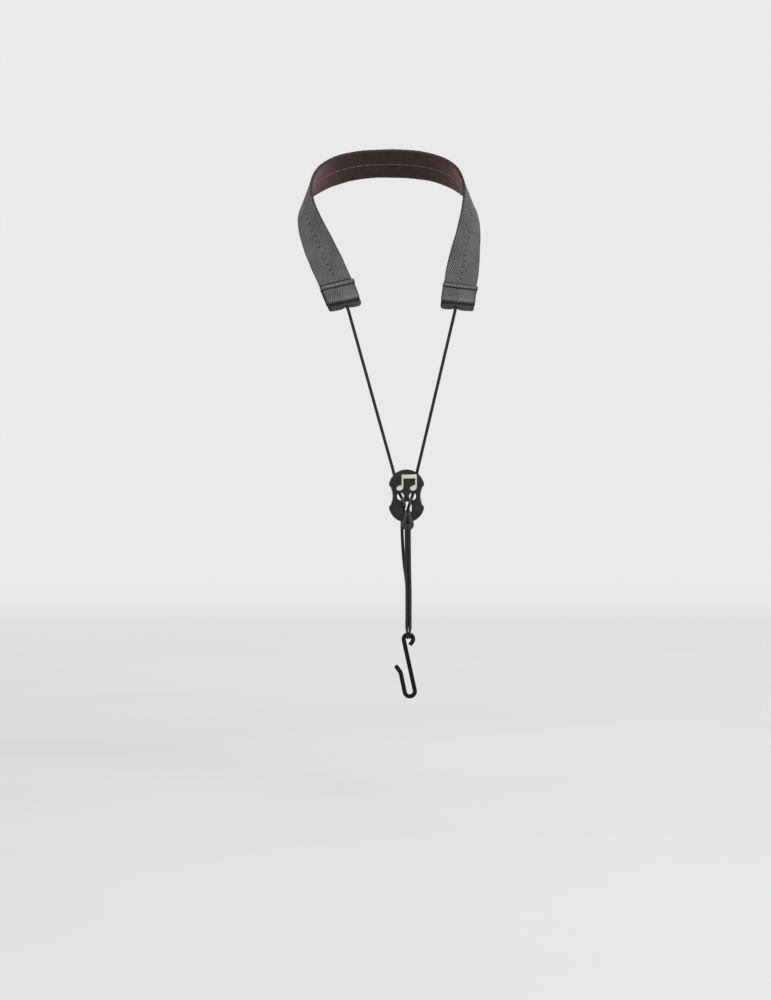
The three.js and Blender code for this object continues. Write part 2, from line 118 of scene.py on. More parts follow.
SLIDER = {"thickness": 4, "edge": 0.6, "lobe": 15.9, "lobe_centre": 7.7, "lobe_end": 10.3}
SHOULDER = (15.5, 8.8)
GRIP = {"height": 7, "waist": 12.3, "end": 13.8, "teeth": 7, "tooth_depth": 1.1}
UPPER_HOLES = {"x": 5.35, "z": -0.4, "rx": 3.1, "rz": 3.3}
LOWER_HOLE = {"x": 0.6, "top": -5.1, "bottom": -15.2, "radius": 3.95, "corner": 2.5}
EMBLEM = {"x": 1.7, "z": 12.1, "thickness": 1, "edge": 0.34, "stem": 6, "stem_width": 1.5, "beam": (3.4, 7)}
NOTE_HEAD = {"x": -1.6, "z": -5, "rx": 3.2, "rz": 2.3, "tilt": 0.35}

LEG_END = {"left": (-11.8, 3.7, 22.4), "right": (9.7, 3.7, 22.4)}
LACING = {
    "left": [(-11.7, 3.7, 22), (-9.2, 3.7, 12.5), (-7.3, 3.7, 6), (-6.5, 3.5, 3.2), (-5.8, 2.1, 1.4),
             (-5.1, 0, -0.2), (-4.4, -2.2, -1.6), (-3.2, -3.7, -3.3), (-2.2, -3.8, -5.4), (-1.85, -3.2, -7.2),
             (-1.85, -1.6, -8.4), (-1.9, 0, -9.2), (-2.05, 1.8, -9.9), (-2.4, 4, -11), (-2.9, 6.2, -13.4),
             (-3.4, 7, -17.5), (-3.9, 6.9, -24)],
    "right": [(9.6, 3.7, 22), (8, 3.7, 12.5), (6.6, 3.7, 6), (5.9, 3.6, 3.2), (5.5, 2.1, 1.3),
              (5.2, 0, 0), (4.7, -2.2, -1.5), (4, -3.7, -3.3), (3.2, -3.8, -5.2), (2.8, -3.2, -6.8),
              (2.4, -1.6, -8), (2.15, 0, -8.8), (1.9, 1.8, -9.6), (1.5, 4, -11), (1.15, 6.2, -13.4),
              (1, 7, -17.5), (1, 6.9, -24)],
}
HITCH_MIDDLE = 1  # from the plate's middle
HITCH_HALF = [(0, -2.8, -29.1), (2.6, -2.8, -28.2), (3.9, -3, -25.6), (3.1, -3.6, -22.6), (2.2, -3.6, -19.5),
              (1.75, -3.7, -17), (1.6, -2.9, -14.5), (1.6, 0, -13.6), (1.6, 2.9, -14.5), (1.6, 3.8, -17),
              (1.5, 3.8, -20), (1.4, 3.5, -23.2), (1.35, 2.2, -24.9), (1.35, 0, -25.4), (1.35, -2.8, -25.7),
              (1.45, -4.7, -27), (1.5, -5.6, -29.2), (1.5, -5.7, -31)]
STRAND_TOP = {"back": (6.9, -24.4), "front": (-5.7, -31.4)}
STRAND_END = -118.4
BIGHT = {"radius": 3.4, "half": 0.95, "squeeze": 0.36}


# ---- the worn band
def turned(a, b, angle):
    """Two perpendicular directions turned in their own plane, the first towards the second."""
    cos, sin = math.cos(angle), math.sin(angle)
    return a * cos + b * sin, b * cos - a * sin


def band_places(side):
    """Point, direction towards the neck and direction of the upper edge, every millimetre from the nape."""
    lean = math.radians(BAND["lean"])
    along = Vector((SIDES[side], 0, 0))
    inward = Vector((0, -math.cos(lean), -math.sin(lean)))
    up = Vector((0, -math.sin(lean), math.cos(lean)))
    point = Vector((0, 0, 0))
    stations = [i * BAND["station_every"] for i in range(len(BEND[side]))]
    places = []
    for s in range(LENGTH[side] + 1):
        places.append((*point, *inward, *up))
        half_bend = math.radians(np.interp(s + 0.5, stations, BEND[side]) / 20)
        twist = math.radians(np.interp(s + 0.5, stations, TWIST[side]) / 10)
        along, inward = turned(along, inward, half_bend)
        point = point + along
        along, inward = turned(along, inward, half_bend)
        inward, up = turned(inward, up, twist)
    return np.array(places)


PLACES = {side: band_places(side) for side in SIDES}


def worn(flat):
    """Where points of the flat band go when the band is worn."""
    flat = np.asarray(flat, float)
    shape = flat.shape
    flat = flat.reshape(-1, 3)
    out = np.empty_like(flat)
    for side, sign in SIDES.items():
        mine = (flat[:, 0] < 0) == (sign < 0)
        x, y, z = np.abs(flat[mine, 0]), flat[mine, 1:2], flat[mine, 2:3]
        i = np.minimum(x.astype(int), len(PLACES[side]) - 2)
        t = (x - i)[:, None]
        place = PLACES[side][i] * (1 - t) + PLACES[side][i + 1] * t
        centre, inward, up = place[:, :3], place[:, 3:6], place[:, 6:]
        inward = inward / np.linalg.norm(inward, axis=1, keepdims=True)
        up = up / np.linalg.norm(up, axis=1, keepdims=True)
        out[mine] = centre - up * y - inward * z
    return out.reshape(shape)


def at_end(side, before, y, z):
    """The flat place a distance before the band's end. z counts from the middle of the thickness."""
    sign = SIDES[side]
    return np.stack(np.broadcast_arrays(sign * (LENGTH[side] - before), sign * y, z + BAND["middle"]), -1)


# ---- meshes
def add_object(name, data):
    made = bpy.data.objects.new(name, data)
    bpy.context.scene.collection.objects.link(made)
    return made


def add_mesh(name, vertices, faces, uvs=None):
    """A smooth mesh object. uvs holds one (u, v) for each corner of each face, in millimetres."""
    mesh = bpy.data.meshes.new(name)
    mesh.from_pydata((np.asarray(vertices, float) * MM).tolist(), [], faces)
    mesh.update()
    if uvs is not None:
        layer = mesh.uv_layers.new(name="cloth")
        layer.data.foreach_set("uv", np.asarray(uvs, np.float32).ravel())
    mesh.polygons.foreach_set("use_smooth", [True] * len(mesh.polygons))
    return add_object(name, mesh)


def loft(rings, along, around):
    """Vertices, faces and corner uvs of a closed skin through rings of points. along has a number for each
    ring, and around one for each point and one more for the return to the first."""
    rings = np.asarray(rings, float)
    m, n = rings.shape[:2]
    i, j = (a.ravel() for a in np.meshgrid(np.arange(m - 1), np.arange(n), indexing="ij"))
    right = (j + 1) % n
    faces = np.stack([i * n + j, i * n + right, (i + 1) * n + right, (i + 1) * n + j], 1).tolist()
    around, along = np.asarray(around, float), np.asarray(along, float)
    corners = [(i, j), (i, j + 1), (i + 1, j + 1), (i + 1, j)]
    uvs = np.stack([np.stack((along[a], around[b]), 1) for a, b in corners], 1).reshape(-1, 2).tolist()
    for ring, at in ((0, list(range(n - 1, -1, -1))), (m - 1, list(range(n)))):
        faces.append([ring * n + k for k in at])
        uvs += [(along[ring], around[k]) for k in at]
    return rings.reshape(-1, 3), faces, uvs


def join(parts):
    """Several (vertices, faces, uvs) as one."""
    vertices, faces, uvs, start = [], [], [], 0
    for v, f, u in parts:
        vertices.append(v)
        faces += [[k + start for k in face] for face in f]
        uvs += list(u)
        start += len(v)
    return np.concatenate(vertices), faces, uvs


def smooth_line(points, every):
    """Points about that far apart on a centripetal Catmull-Rom curve through the given ones."""
    p = np.array([tuple(q) for q in points], float)
    p = np.concatenate([[2 * p[0] - p[1]], p, [2 * p[-1] - p[-2]]])
    line = [p[1]]
    for a, b, c, d in zip(p, p[1:], p[2:], p[3:]):
        steps = max(1, round(np.linalg.norm(c - b) / every))
        t0 = 0.0
        t1 = t0 + max(np.linalg.norm(b - a), 1e-9) ** 0.5
        t2 = t1 + max(np.linalg.norm(c - b), 1e-9) ** 0.5
        t3 = t2 + max(np.linalg.norm(d - c), 1e-9) ** 0.5
        for t in np.linspace(t1, t2, steps + 1)[1:]:
            ab = a + (b - a) * (t - t0) / (t1 - t0)
            bc = b + (c - b) * (t - t1) / (t2 - t1)
            cd = c + (d - c) * (t - t2) / (t3 - t2)
            abc = ab + (bc - ab) * (t - t0) / (t2 - t0)
            bcd = bc + (cd - bc) * (t - t1) / (t3 - t1)
            line.append(abc + (bcd - abc) * (t - t1) / (t2 - t1))
    return np.array(line)


def tube(line, radius, sides):
    """A round skin along a line, with frames that don't twist. radius is one number or one for each point."""
    line = np.asarray(line, float)
    tangent = np.gradient(line, axis=0)
    tangent /= np.linalg.norm(tangent, axis=1, keepdims=True)
    start = np.cross(tangent[0], (0, 1, 0) if abs(tangent[0][1]) < 0.8 else (1, 0, 0))
    normals = [start / np.linalg.norm(start)]
    for t in tangent[1:]:
        n = normals[-1] - t * (normals[-1] @ t)
        normals.append(n / np.linalg.norm(n))
    normals = np.array(normals)
    angles = np.linspace(0, 2 * math.pi, sides, endpoint=False)
    radius = np.broadcast_to(radius, len(line))[:, None, None]
    other = np.cross(tangent, normals)
    ring = normals[:, None] * np.cos(angles)[None, :, None] + other[:, None] * np.sin(angles)[None, :, None]
    rings = line[:, None] + ring * radius
    run = np.concatenate([[0], np.cumsum(np.linalg.norm(np.diff(line, axis=0), axis=1))])
    return loft(rings, run, np.linspace(0, 2 * math.pi, sides + 1) * float(radius.mean()))


def ease(t):
    t = np.clip(t, 0, 1)
    return t * t * (3 - 2 * t)


def bump(x, width):
    """1 at x = 0, falling smoothly to 0 over about that width."""
    return np.exp(-((x / width) ** 2))


# ---- materials
class Look:
    """A node material round one Principled shader, with short calls for its nodes."""

    def __init__(self, name, **constants):
        self.material = bpy.data.materials.new(name)
        self.material.use_nodes = True
        self.tree = self.material.node_tree
        self.shader = self.tree.nodes["Principled BSDF"]
        for socket, value in constants.items():
            self.shader.inputs[socket.replace("_", " ")].default_value = value

    def feed(self, socket, value):
        if isinstance(value, bpy.types.NodeSocket):
            self.tree.links.new(value, socket)
        else:
            socket.default_value = value

    def node(self, kind, **inputs):
        made = self.tree.nodes.new("ShaderNode" + kind)
        for name, value in inputs.items():
            self.feed(made.inputs[name.replace("_", " ")], value)
        return made

    def math(self, operation, a, b=0.0, c=0.0):
        made = self.node("Math")
        made.operation = operation
        for socket, value in zip(made.inputs, (a, b, c)):
            self.feed(socket, value)
        return made.outputs[0]

    def times(self, a, b):
        return self.math("MULTIPLY", a, b)

    def plus(self, a, b):
        return self.math("ADD", a, b)

    def minus(self, a, b):
        return self.math("SUBTRACT", a, b)

    def uv(self):
        """(along, across) of the cloth, in millimetres."""
        made = self.node("UVMap")
        made.uv_map = "cloth"
        split = self.node("SeparateXYZ", Vector=made.outputs[0])
        return split.outputs[0], split.outputs[1]

    def place(self):
        """The surface point on the object, in millimetres."""
        return self.scaled(self.node("TexCoord").outputs["Object"], 1 / MM)

    def scaled(self, vector, scale):
        made = self.node("VectorMath")
        made.operation = "SCALE"
        self.feed(made.inputs[0], vector)
        self.feed(made.inputs["Scale"], scale)
        return made.outputs[0]

    def noise(self, where, scale, detail=2.0):
        """Noise about 0.5, with features of 1 / scale millimetres."""
        return self.node("TexNoise", Vector=where, Scale=scale, Detail=detail).outputs[0]

    def vector(self, x, y, z=0.0):
        return self.node("CombineXYZ", X=x, Y=y, Z=z).outputs[0]

    def between(self, value, low, high, out_low=0.0, out_high=1.0):
        made = self.node("MapRange")
        made.interpolation_type = "SMOOTHSTEP"
        for socket, v in zip(made.inputs, (value, low, high, out_low, out_high)):
            self.feed(socket, v)
        return made.outputs[0]

    def colours(self, factor, a, b):
        made = self.node("Mix")
        made.data_type = "RGBA"
        self.feed(made.inputs[0], factor)
        for socket, value in ((made.inputs[6], a), (made.inputs[7], b)):
            self.feed(socket, (*value, 1.0) if isinstance(value, tuple) and len(value) == 3 else value)
        return made.outputs[2]

    def finish(self, colour, roughness, height, depth):
        """depth is the height of the bump, in millimetres."""
        self.feed(self.shader.inputs["Base Color"], colour)
        self.feed(self.shader.inputs["Roughness"], roughness)
        relief = self.node("Bump", Height=height, Distance=depth * MM)
        self.feed(self.shader.inputs["Normal"], relief.outputs[0])
        return self.material


def herringbone(name, dark, light, lines=(), holes=None):
    """Twill webbing: fine warp yarns whose long floats step outwards from the spine towards the band's ends,
    so that steep ribs spread from it. The nap of the lower half is brushed up and hides them. lines are
    (place along, half width, where it has faded, strength) of stripes of painted shadow and painted highlight
    across the cloth, and holes is (first place, pitch) of the needle holes down the spine, round which
    painted shade darkens the cloth."""
    yarn, step, repeat = 0.5, 1.7, 6.2
    look = Look(name, Sheen_Weight=0.12, Sheen_Roughness=0.4, Specular_IOR_Level=0.3)
    look.shader.inputs["Sheen Tint"].default_value = (0.75, 0.74, 0.78, 1)
    along, across = look.uv()
    flat = look.vector(along, across)
    off = look.math("ABSOLUTE", across)
    wander = look.times(look.minus(look.noise(flat, 0.5), 0.5), 1.2)
    column = look.math("DIVIDE", off, yarn)
    run = look.plus(look.math("ABSOLUTE", along), wander)
    stepped = look.minus(run, look.times(look.math("FLOOR", column), step))
    phase = look.math("FRACT", look.math("DIVIDE", stepped, repeat))
    over = look.math("SINE", look.times(phase, math.pi))
    round_yarn = look.math("SINE", look.times(look.math("FRACT", column), math.pi))
    rib = look.times(look.between(over, 0.25, 0.85), look.math("POWER", round_yarn, 0.35))
    napped = look.between(across, -1.5, 3.0, 0.0, 0.7)
    body = look.plus(look.times(rib, look.minus(1.0, napped)), look.times(napped, 0.5))
    fibre = look.noise(look.vector(look.times(along, 0.35), across), 5.0, 3.0)
    selvedge = look.between(off, 13.4, 14.8)
    ribs = look.times(body, look.minus(1.0, selvedge))
    height = look.plus(ribs, look.times(fibre, 0.3))
    shade = look.between(look.noise(flat, 0.05, 3.0), 0.35, 0.65, 0.85, 1.12)
    shade = look.times(shade, look.between(fibre, 0.3, 0.7, 0.65, 1.3))
    shade = look.times(shade, look.between(selvedge, 0.0, 1.0, 1.0, 0.4))
    uneven = look.times(look.minus(look.noise(flat, 0.45), 0.5), 0.9)
    # painted stripes across the cloth: painted shadow darkens it and painted highlight lightens it
    for place, half, faded, strength in lines:
        away = look.plus(look.math("ABSOLUTE", look.minus(along, place)), uneven)
        shade = look.times(shade, look.between(away, half, faded, strength, 1.0))
    if holes:
        first, pitch = holes
        turns = look.math("DIVIDE", look.minus(along, first - pitch / 2), pitch)
        near = look.times(look.minus(look.math("FRACT", turns), 0.5), 0.6 * pitch)
        away = look.math("SQRT", look.plus(look.times(near, near), look.times(off, off)))
        # painted shade: the cloth is darkened round each needle hole
        shade = look.times(shade, look.between(away, 0.5, 1.1, 0.05, 1.0))
    colour = look.scaled(look.colours(body, dark, light), shade)
    return look.finish(colour, look.between(body, 0.0, 1.0, 0.95, 0.6), height, 0.25)


def brushed_lining(name, dark, light):
    """A soft brushed cloth with a short nap that lies in patches."""
    look = Look(name, Sheen_Weight=0.6, Sheen_Roughness=0.5, Specular_IOR_Level=0.2)
    look.shader.inputs["Sheen Tint"].default_value = (0.75, 0.45, 0.45, 1)
    along, across = look.uv()
    nap = look.noise(look.vector(look.times(along, 0.5), across), 5.0, 4.0)
    wale = 0.9
    knit = look.math("SINE", look.times(across, 2 * math.pi / wale))
    patches = look.noise(look.vector(along, across), 0.12, 3.0)
    tone = look.plus(look.times(nap, 0.7), look.times(patches, 0.5))
    colour = look.colours(look.between(tone, 0.4, 0.8), dark, light)
    height = look.plus(nap, look.times(knit, 0.12))
    return look.finish(colour, look.between(nap, 0.3, 0.7, 0.95, 0.8), height, 0.25)


def braided_cord(name, dark, light, rubbed_and_lit):
    """A fine tubular braid: strands cross each other at a steep angle all round the cord. It has a painted
    highlight, its colour the given factor lighter, where it crosses the slider's front, and a little on the
    strands that hang in front."""
    carriers, pitch = 12, 1.5
    look = Look(name, Sheen_Weight=0.05, Sheen_Roughness=0.3, Specular_IOR_Level=0.3)
    along, around = look.uv()
    turn = look.times(around, carriers / (2 * CORD))
    climb = look.times(along, math.pi / pitch)
    one = look.math("SINE", look.plus(turn, climb))
    other = look.math("SINE", look.minus(turn, climb))
    weave = look.math("ABSOLUTE", look.times(one, other))
    hair = look.noise(look.vector(look.times(along, 0.5), look.times(around, 2.0)), 6.0)
    height = look.plus(weave, look.times(hair, 0.25))
    where = look.node("SeparateXYZ", Vector=look.place())
    in_front = look.between(where.outputs[1], PLATE.y - 4.5, PLATE.y - 2.5, 1.0, 0.0)
    low = look.between(where.outputs[2], PLATE.z - 34, PLATE.z - 22, 0.22, 1.0)
    high = look.between(where.outputs[2], PLATE.z - 4, PLATE.z + 1, 1.0, 0.0)
    # painted highlight: the cord in front of the slider, and less so the strands below it, made lighter as if
    # lit from above
    painted_highlight_share = look.times(in_front, look.times(low, high))
    colour = look.colours(look.between(height, 0.1, 1.0), dark, light)
    dark, light = (tuple(rubbed_and_lit * c for c in tone) for tone in (dark, light))
    worn_and_lit_colour = look.colours(look.between(height, 0.1, 1.0), dark, light)
    colour = look.colours(painted_highlight_share, colour, worn_and_lit_colour)
    return look.finish(colour, look.between(hair, 0.3, 0.7, 0.42, 0.6), height, 0.09)


def sewing_thread(name, dark, light):
    """Twisted thread."""
    look = Look(name, Sheen_Weight=0.3, Specular_IOR_Level=0.4)
    along, around = look.uv()
    ply = look.math("SINE", look.plus(look.times(along, 9.0), look.times(around, 7.0)))
    colour = look.colours(look.between(ply, -1.0, 1.0), dark, light)
    return look.finish(colour, look.between(ply, -1.0, 1.0, 0.8, 0.6), ply, 0.05)


def moulded_plastic(name, dark, light):
    """Satin moulded plastic: fine spark texture, faint flow marks, worn lighter edges and painted shade, near
    black, in its hollows.
    """
    look = Look(name, Specular_IOR_Level=0.3)
    where = look.place()
    spark = look.noise(where, 3.2, 3.0)
    flow = look.noise(where, 0.12, 2.0)
    edge = look.node("NewGeometry").outputs["Pointiness"]
    patches = look.between(look.noise(where, 0.9, 3.0), 0.4, 0.65)
    rubbed_and_lit = look.times(look.between(edge, 0.53, 0.6), patches)
    tone = look.plus(look.times(flow, 0.6), look.times(spark, 0.3))
    colour = look.colours(look.between(tone, 0.3, 0.6), dark, light)
    worn_and_lit_colour = tuple(1.9 * c for c in light)
    colour = look.colours(rubbed_and_lit, colour, worn_and_lit_colour)
    # painted shade: the colour is pulled towards near black where the surface is hollow
    colour = look.colours(look.between(edge, 0.42, 0.495, 0.75, 0.0), colour, (0.002, 0.002, 0.002))
    roughness = look.plus(look.between(spark, 0.3, 0.7, 0.42, 0.58), look.times(rubbed_and_lit, -0.08))
    return look.finish(colour, roughness, spark, 0.035)


def polished_metal(name, base):
    """Bright plating with fine random scratches and faint smears."""
    look = Look(name, Metallic=1.0)
    where = look.place()
    split = look.node("SeparateXYZ", Vector=where)
    stretched = look.vector(look.times(split.outputs[0], 0.3), split.outputs[1],
                            look.times(split.outputs[2], 6.0))
    scratch = look.between(look.noise(stretched, 1.5, 2.0), 0.6, 0.72)
    smear = look.noise(where, 0.35, 2.0)
    colour = look.colours(look.between(smear, 0.3, 0.7), tuple(0.86 * c for c in base), base)
    roughness = look.plus(look.between(smear, 0.3, 0.7, 0.12, 0.26), look.times(scratch, 0.12))
    return look.finish(colour, roughness, scratch, 0.01)


def shrunk_sleeve(name, dark, light):
    """Black plastic sleeve on the hook: glossy, faintly uneven along the wire, with a few scuffs."""
    look = Look(name, Specular_IOR_Level=0.18)
    along, around = look.uv()
    where = look.place()
    bands = look.noise(look.vector(look.times(along, 0.5), look.times(around, 0.08)), 1.0, 2.0)
    scuff = look.between(look.noise(where, 1.4, 4.0), 0.58, 0.7)
    colour = look.colours(scuff, dark, light)
    roughness = look.plus(look.between(bands, 0.3, 0.7, 0.22, 0.34), look.times(scuff, 0.22))
    height = look.plus(bands, look.times(look.noise(where, 1.2, 2.0), 0.4))
    return look.finish(colour, roughness, height, 0.05)


def cut_steel(name):
    """The bare end of drawn wire, with saw marks."""
    look = Look(name, Metallic=1.0)
    marks = look.noise(look.place(), 7.0, 3.0)
    colour = look.colours(marks, (0.32, 0.33, 0.34), (0.58, 0.59, 0.6))
    return look.finish(colour, look.between(marks, 0.3, 0.7, 0.3, 0.5), marks, 0.03)


def pale_floor(name):
    """A pale matt floor that turns into the bright surroundings far from the object."""
    reach = 2650.0
    look = Look(name)
    where = look.place()
    tone = look.noise(where, 0.002, 2.0)
    colour = look.colours(look.between(tone, 0.3, 0.7), (0.7, 0.7, 0.705), (0.73, 0.73, 0.73))
    look.finish(colour, 0.7, tone, 0.01)
    away = look.node("VectorMath")
    away.operation = "LENGTH"
    look.feed(away.inputs[0], where)
    nearness = look.math("DIVIDE", 1000.0, look.plus(away.outputs["Value"], reach))
    glow = look.node("Emission", Color=(1, 1, 1, 1), Strength=HORIZON)
    mix = look.node("MixShader")
    look.feed(mix.inputs[0], look.between(nearness, 0.1, 0.34, 1.0, 0.0))
    look.feed(mix.inputs[1], look.shader.outputs[0])
    look.feed(mix.inputs[2], glow.outputs[0])
    look.feed(look.tree.nodes["Material Output"].inputs["Surface"], mix.outputs[0])
    return look.material


# ---- the end caps' section
def cap_profile():
    """The cap's section as two lists of (distance before the band's end, height from the band's middle): the
    visible outside and the inside, both from the hem over the roll to the edge behind."""
    gap, cloth, roll = CAP["gap"], CAP["cloth"], CAP["roll"]
    top, step = CAP["length"], CAP["length"] - CAP["hem"]
    face, hem = gap + cloth, gap + CAP["hem_rise"]
    crease = CAP["crease"]
    outside = [(top - 0.05, gap + 0.3), (top, gap + 0.8), (top - 0.1, hem - 0.35), (top - 0.45, hem - 0.05)]
    outside += [(top - 0.45 - 3.1 * t, hem + 0.12 * math.sin(math.pi * t))
                for t in (0.15, 0.3, 0.5, 0.7, 0.85, 1)]
    outside += [(step + 0.1, hem - 0.35), (step, face + 0.25), (step - 0.4, face + 0.02)]
    outside += [(step - 0.4 + (crease + 1.2 - step + 0.4) * t, face + 0.45 * math.sin(math.pi * t ** 1.6))
                for t in (0.1, 0.2, 0.35, 0.5, 0.65, 0.75, 0.85, 0.93, 1)]
    outside += [(crease + 0.4, face - 0.3), (crease, face - 0.55), (crease - 0.5, face - 0.4)]
    outer_turn = np.radians(np.linspace(108, -128, 25))
    outside += [(roll - roll * math.cos(a), roll * math.sin(a)) for a in outer_turn]
    outside += [(crease, -face + 0.35), (crease + 0.6, -face + 0.1)]
    outside += [(crease + 1.2 + (top - 0.5 - crease - 1.2) * t, -face) for t in np.linspace(0, 1, 10)]
    outside += [(top - 0.1, -face + 0.2), (top, -face + 0.5)]
    hollow, inner_turn = roll - cloth, np.radians(np.linspace(125, -125, 17))
    inside = [(top - 0.1, gap)] + [(top + (crease - top) * t, gap) for t in np.linspace(0.1, 1, 8)]
    inside += [(roll - hollow * math.cos(a), hollow * math.sin(a)) for a in inner_turn]
    inside += [(crease + (top - crease) * t, -gap) for t in np.linspace(0, 0.9, 8)] + [(top - 0.1, -gap)]
    return np.array(outside), np.array(inside)


def cap_run(profile):
    """The length of cloth from the hem's top edge to each point of a section."""
    return np.concatenate([[0], np.cumsum(np.hypot(*np.diff(profile, axis=0).T))])


def cap_lines():
    """Painted stripes across the cap: painted shadow at each edge of the hem, a painted highlight on its
    middle, a painted highlight on the cloth above the crease, painted deep shadow just past it and painted
    shade round the roll."""
    outside = cap_profile()[0]
    run = cap_run(outside)
    front = outside[:, 1] > 0
    hem_end, top = CAP["length"] - CAP["hem"], CAP["length"]
    # painted shadow at the hem's top edge, painted highlight on its middle, painted shadow at its lower edge,
    # painted highlight above the crease and painted deep shadow past it
    stripes = ((top - 0.2, 0.2, 0.9, 0.3), (top - 2.5, 0.7, 1.7, 1.3), (hem_end - 0.15, 0.5, 1.5, 0.12),
               (CAP["crease"] + 3.6, 0.6, 2.6, 1.3), (CAP["crease"] - 1.5, 1.4, 4.2, 0.035))
    lines = [(-run[front][np.abs(outside[front, 0] - place).argmin()], *rest) for place, *rest in stripes]
    # painted shade over the cloth of the roll
    roll_middle = run[np.abs(outside[:, 0]).argmin()] - 0.5
    return [*lines, (-roll_middle, 2.5, 6, 0.62)]


HEM_ROWS = np.array([CAP["length"] - 0.75, CAP["length"] - CAP["hem"] + 0.75])
CAP_LINES = cap_lines()


def needle_holes():
    """Where the needle went through along the band, from one cap to the other."""
    clear = CAP["length"] + 2
    first, last = -LENGTH["left"] + clear, LENGTH["right"] - clear
    count = int((last - first) / SEAM["pitch"])
    return first + np.arange(count + 1) * (last - first) / count


HOLES = needle_holes()
MOUTHS = [SIDES[side] * (LENGTH[side] - CAP["length"]) for side in SIDES]
WEAVE = ((0.006, 0.0058, 0.006), (0.21, 0.203, 0.206))

LOOKS = {
    # painted shadow on the webbing just outside each cap's mouth
    "webbing": herringbone("band_webbing", *WEAVE, [(mouth, 2.3, 3.2, 0.1) for mouth in MOUTHS],
                           (HOLES[0], HOLES[1] - HOLES[0])),
    "cap": herringbone("cap_webbing", *WEAVE, CAP_LINES),
    "lining": brushed_lining("band_lining", (0.012, 0.007, 0.0075), (0.042, 0.022, 0.024)),
    "thread": sewing_thread("seam_thread", (0.06, 0.059, 0.058), (0.26, 0.255, 0.25)),
    "cord": braided_cord("cord_braid", (0.0025, 0.0025, 0.003), (0.014, 0.0132, 0.0145), 6.5),
    "plate": moulded_plastic("slider_plastic", (0.0095, 0.0095, 0.008), (0.017, 0.017, 0.0145)),
    "emblem": polished_metal("emblem_plating", (0.8, 0.785, 0.75)),
    "hook_sleeve": shrunk_sleeve("hook_sleeve", (0.0012, 0.0012, 0.0011), (0.006, 0.006, 0.0055)),
    "wire": cut_steel("hook_wire"),
}


def place_piece(piece, look, slot, body, *nodes):
    """Gives a piece its material, sets it on its body and hides the CAD nodes that it is. slot is not used.
    """
    piece.data.materials.append(LOOKS[look])
    if body:
        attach(piece, body)
    if nodes:
        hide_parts(*nodes)
    return piece


# ---- camera
def aim_camera():
    """Level with the slider and straight in front of the wearer, with a long lens."""
    camera = add_object("camera", bpy.data.cameras.new("camera"))
    camera.data.lens = CAMERA["lens"]
    camera.data.sensor_width = CAMERA["sensor"]
    camera.data.clip_end = 100
    camera.location = CAMERA["place"]
    camera.rotation_euler = (math.radians(90), 0, 0)
    bpy.context.scene.camera = camera


# ---- the cord
def from_plate(points):
    return [Vector(p) + PLATE for p in points]


def cord_across(side):
    """Where the cord leaves the cap: off the middle, towards the band's upper edge."""
    return -SIDES[side] * CAP["cord_offset"]


def knot_centre(side):
    return Vector(worn(at_end(side, CAP["roll"], cord_across(side), 0)))


def end_direction(side):
    a, b = PLACES[side][-2][:3], PLACES[side][-1][:3]
    return Vector(b - a).normalized()


def leg_route(side):
    """From the knot in the cap's roll, out of the roll and down to the plate's top edge."""
    knot, out = knot_centre(side), end_direction(side)
    end = PLATE + Vector(LEG_END[side])
    lip = knot + out * 5.4
    down = (end - lip).normalized()
    bend_point = lip + out * 0.8 + down * 1.8
    stops = [bend_point.lerp(end, t) for t in (0.1, 0.3, 0.5, 0.7, 0.9)]
    return [knot + out, lip, bend_point, *stops]


def strand_route(side, depth):
    """One strand from under the plate down to the hook's eye, 1 behind or -1 in front."""
    sign = SIDES[side]
    eye = EYE - PLATE
    low = Vector((eye.x + sign * STRAND_HALF, eye.y + depth * BIGHT["radius"], STRAND_END))
    if depth > 0:
        high = Vector((LACING[side][-1][0], *STRAND_TOP["back"]))
    else:
        high = Vector((HITCH_MIDDLE + sign * STRAND_HALF, *STRAND_TOP["front"]))
    hanging = high - Vector((0, 0, 8 if depth > 0 else 1))
    gathered = Vector((low.x, low.y + depth * 0.4, high.lerp(low, 0.6).z))
    return from_plate([high, hanging, high.lerp(low, 0.35), gathered, low + Vector((0, 0, 4)), low])


def bight_route(side):
    """Down behind the eye's wire, under it and up in front."""
    x, radius = EYE.x + SIDES[side] * BIGHT["half"], BIGHT["radius"]
    top = EYE.z + EYE_RADIUS
    turn = [math.radians(a) for a in (0, 45, 90, 135, 180)]
    return [Vector((x, EYE.y + radius * math.cos(a), top - radius * math.sin(a))) for a in turn]


def add_cord(name, route, every, *nodes, body=None, thin=None):
    """A cord along a route. thin(line) gives the share of the full radius at each point."""
    line = smooth_line(route, every)
    radius = CORD * (thin(line) if thin else np.ones(len(line)))
    piece = add_mesh(name, *tube(line, radius, 16))
    place_piece(piece, "cord", "cord", body, *nodes)
    return piece


def tucked(line):
    """The cord's two ends are slightly thinner, so that they hide inside the stretch that they go on from."""
    share = np.ones(len(line))
    share[[0, -1]] = 0.93
    return share


def squeezed_at_eye(line):
    """The two strands press each other thinner where they turn under the eye's wire."""
    eye_top = EYE.z + EYE_RADIUS
    return tucked(line) - BIGHT["squeeze"] * ease((eye_top + 7 - line[:, 2]) / 7)


def squeezed_in_hitch(line):
    """The cord is pinched thinner where it passes through its own loop, and spreads in front of the plate."""
    above = line[:, 2] - PLATE.z
    tail = (above < -26) * (line[:, 1] < PLATE.y - 3.8)
    pinched = 0.12 * bump(above + 25.5, 3) * (np.abs(line[:, 0] - PLATE.x - HITCH_MIDDLE) < 2)
    share = tucked(line) - pinched - 0.18 * ease((above + 15) / 1.4)
    spread = ease((-14 - above) / 2.5) * (line[:, 1] < PLATE.y - 2.4) * (1 - tail)
    return share + 0.24 * spread


